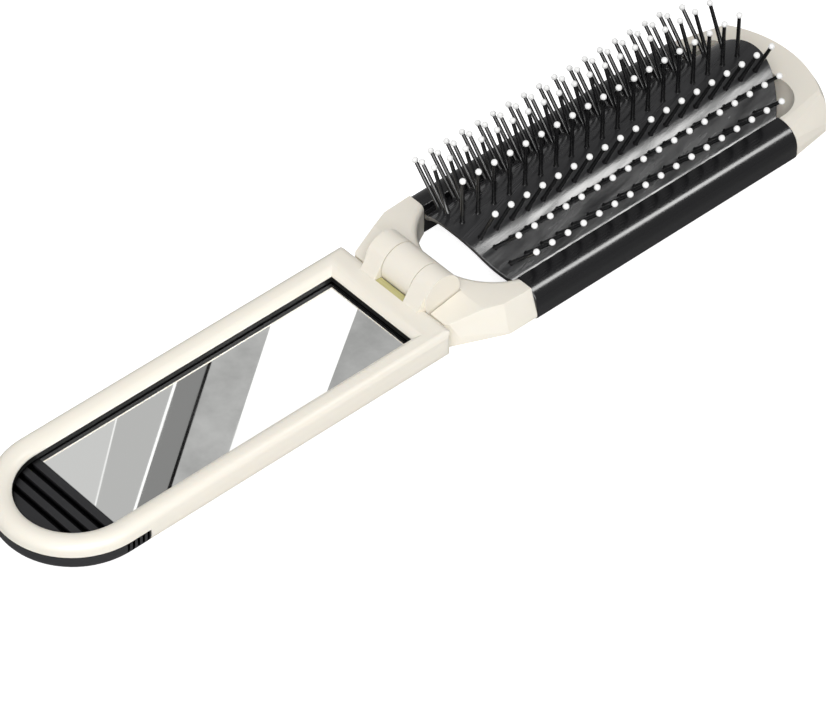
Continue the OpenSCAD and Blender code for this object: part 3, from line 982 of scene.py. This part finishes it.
@dataclass
class Studio:
    """White table, white room, soft lamps and the camera at the photograph's angle."""

    azimuth: float = math.radians(-41.52)
    elevation: float = math.radians(44.29)
    eye: tuple[float, float, float] = (-0.48786, -0.55083, 0.70302)
    lens: float = 221.7
    sensor: float = 36.0
    mirror_z: float = 4.15 * MM
    mirror_half: float = 11.9 * MM
    card_height: float = 0.7
    card_reach: float = 1.4
    card_colour: tuple[float, float, float, float] = (1.0, 1.0, 0.985, 1.0)
    mottle_size: float = 1.0 / 60.0
    mottle_detail: float = 8.0
    mottle_rough: float = 0.65
    mottle_ends: tuple[float, float] = (0.3, 0.7)
    mottle_swing: tuple[float, float] = (0.82, 1.14)
    table_half: float = 2.5
    camera_lift: float = 0.78
    table_white: float = 0.86
    table_shine: float = 0.40
    table_drop: float = 0.05 * MM
    table_touch: float = 0.5 * MM
    room_light: float = 0.50
    room_shine: float = 0.35
    # A soft box in front on the left brightens the faces turned to the eye, and a weaker one hangs above.
    softboxes: tuple[Softbox, ...] = (
        Softbox("front_left", (-0.30, -0.35, 0.45), (0.35, 0.35), 2.4),
        Softbox("overhead", (0.0, 0.1, 1.1), (0.8, 0.8), 1.0))
    long_light: LongLight = LongLight()
    stem_light: tuple[tuple[float, float, float], ...] = (
        (-0.56, -0.22, -0.02), (-0.56, -0.22, 0.18), (0.10, -0.52, 0.42), (0.10, -0.52, 0.16))
    stem_level: float = 8.0
    bands: tuple[RoomBand, ...] = (
        RoomBand("pale_wall", -130.0, -130.0, -66.7, -94.1, 0.62),
        RoomBand("wall_joint", -66.7, -94.1, -66.2, -93.6, 0.95),
        RoomBand("second_wall", -66.2, -93.6, -52.0, -82.8, 0.50),
        RoomBand("bright_strip", -52.0, -82.8, -51.1, -82.0, 1.15),
        RoomBand("shaded_wall", -51.1, -82.0, -43.3, -74.5, 0.25),
        RoomBand("dark_gap", -43.3, -74.5, -42.2, -73.4, 0.01),
        RoomBand("plaster_wall", -42.2, -73.4, -27.2, -59.1, 0.47, True),
        RoomBand("window", -27.2, -59.1, 0.2, -34.5, 1.15),
        RoomBand("far_wall", 0.2, -34.5, 40.0, 40.0, 0.42, True),
    )

    def camera(self) -> None:
        """Makes the camera: its axes are worked out from the azimuth and elevation of the view."""
        ca, sa = math.cos(self.azimuth), math.sin(self.azimuth)
        ce, se = math.cos(self.elevation), math.sin(self.elevation)
        right, back = np.array([ca, sa, 0.0]), np.array([sa * ce, -ca * ce, se])
        up = np.cross(back, right)
        data = bpy.data.cameras.new("photo_camera")
        data.sensor_fit = "HORIZONTAL"
        data.sensor_width = self.sensor
        data.lens = self.lens
        data.clip_start, data.clip_end = 0.05, 20.0
        obj = bpy.data.objects.new("photo_camera", data)
        bpy.context.scene.collection.objects.link(obj)
        turn = Matrix.Identity(4)
        for i in range(3):
            turn[i][0], turn[i][1], turn[i][2], turn[i][3] = right[i], up[i], back[i], self.eye[i]
        obj.matrix_world = turn
        bpy.context.scene.camera = obj

    def view(self) -> np.ndarray:
        """Unit direction from the brush to the eye."""
        ce = math.cos(self.elevation)
        return np.array([math.sin(self.azimuth) * ce, -math.cos(self.azimuth) * ce, math.sin(self.elevation)])

    def card_material(self, name: str, level: float, mottled: bool = False) -> bpy.types.Material:
        """Makes a card's glow, plain or mottled like plaster.

        Args:
            name: The card's name.
            level: Strength of the glow.
            mottled: Whether it is mottled.

        Returns:
            The material.
        """
        mat = bpy.data.materials.new(name)
        graph = Graph(mat)
        strength = level
        if mottled:
            spots = graph.noise(graph.place(), self.mottle_size, self.mottle_detail, self.mottle_rough)
            ends = (level * self.mottle_swing[0], level * self.mottle_swing[1])
            strength = graph.spread(spots, ends, self.mottle_ends)
        glow = graph.add("ShaderNodeEmission", {"Color": self.card_colour, "Strength": strength})
        graph.surface(glow.outputs["Emission"])
        return mat

    def card(self, name: str, points: np.ndarray, level: float, mottled: bool = False) -> None:
        """Makes a card that is seen in reflections only.

        Args:
            name: The card's name.
            points: Its four corners.
            level: Strength of its glow.
            mottled: Whether it is mottled like plaster.
        """
        card = mesh_object(name, points, [[0, 1, 2, 3]])
        card.data.materials.append(self.card_material(name, level, mottled))
        card.visible_camera = False
        card.visible_diffuse = False
        card.visible_shadow = False
        card.visible_transmission = False
        card.visible_volume_scatter = False

    def cards(self) -> None:
        """Makes the cards that reflections show.

        A line from the mirrored eye through a point of the mirror meets the level of the cards at
        eye' + k (point - eye'), so each band's card is its outline on the mirror, made k times larger.
        """
        eye = np.array(self.eye)
        eye[2] = 2 * self.mirror_z - eye[2]
        k = (self.card_height - eye[2]) / (self.mirror_z - eye[2])
        reach = self.card_reach
        for band in self.bands:
            lean_start = (band.start_far - band.start_near) / 2
            lean_end = (band.end_far - band.end_near) / 2
            mid_start = (band.start_far + band.start_near) / 2
            mid_end = (band.end_far + band.end_near) / 2
            outline = np.array([
                [mid_start + reach * lean_start, reach], [mid_start - reach * lean_start, -reach],
                [mid_end - reach * lean_end, -reach], [mid_end + reach * lean_end, reach]])
            on_mirror = np.concatenate([outline[:, :1] * MM, outline[:, 1:] * self.mirror_half,
                                        np.full((4, 1), self.mirror_z)], 1)
            points = eye + k * (on_mirror - eye)
            self.card("card_" + band.name, points, band.level, band.mottled)
        self.card("long_light", self.long_light.outline(self.view()), self.long_light.level)
        self.card("stem_light", np.array(self.stem_light), self.stem_level)

    def table(self) -> None:
        """Makes the white table: its own shaded white, lifted for the camera so that it meets the white room.

        It is clear from below, and to the light that leaves a face resting on it, so that the underside can
        be seen.
        """
        corners = np.array([[-1, -1, 0], [1, -1, 0], [1, 1, 0], [-1, 1, 0]], float)
        top = mesh_object("table", corners * self.table_half - [0.0, 0.0, self.table_drop], [[0, 1, 2, 3]])
        mat = bpy.data.materials.new("white_table")
        graph = Graph(mat)
        path = graph.add("ShaderNodeLightPath").outputs
        white = graph.spread(path["Is Glossy Ray"], (self.table_white, self.table_shine))
        paint = graph.add("ShaderNodeBsdfDiffuse", {"Color": white})
        lift = graph.math("MULTIPLY", path["Is Camera Ray"], self.camera_lift)
        glow = graph.add("ShaderNodeEmission", {"Strength": lift})
        lifted = graph.add("ShaderNodeAddShader", {0: paint.outputs["BSDF"], 1: glow.outputs["Emission"]})
        touching = graph.math("LESS_THAN", path["Ray Length"], self.table_touch)
        below = graph.add("ShaderNodeNewGeometry").outputs["Backfacing"]
        clear = graph.add("ShaderNodeBsdfTransparent")
        seen = graph.add("ShaderNodeMixShader", {
            0: graph.math("MAXIMUM", below, touching), 1: lifted.outputs["Shader"], 2: clear.outputs["BSDF"]})
        graph.surface(seen.outputs["Shader"])
        top.data.materials.append(mat)

    def room(self) -> None:
        """Makes the white room: plain white to the eye, dimmer as light and in reflections."""
        world = bpy.data.worlds.new("white_room")
        bpy.context.scene.world = world
        graph = Graph(world, "ShaderNodeOutputWorld")
        path = graph.add("ShaderNodeLightPath").outputs
        dim = graph.spread(path["Is Glossy Ray"], (self.room_light, self.room_shine))
        level = graph.spread(path["Is Camera Ray"], (dim, 1.0))
        sky = graph.add("ShaderNodeBackground", {"Color": (1.0, 1.0, 1.0, 1.0), "Strength": level})
        graph.surface(sky.outputs["Background"])

    def lamps(self) -> None:
        """Makes the lamps."""
        for softbox in self.softboxes:
            softbox.build()

    def build(self) -> None:
        """Makes the whole studio."""
        self.camera()
        self.table()
        self.room()
        self.lamps()
        self.cards()
        bpy.context.scene.view_settings.view_transform = "Standard"


# ---------------------------------------------------------------- whole scene


def main() -> None:
    """Builds the studio and the brush."""
    logging.basicConfig(level=logging.INFO, format="%(name)s: %(message)s")
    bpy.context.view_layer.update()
    Studio().build()
    finishes = Finishes()
    for part in (Handle(finishes), MirrorTray(finishes), BrushFrame(finishes), PinPad(finishes)):
        LOG.info("building %s", type(part).__name__)
        part.build()


if __name__ == "__main__":
    main()
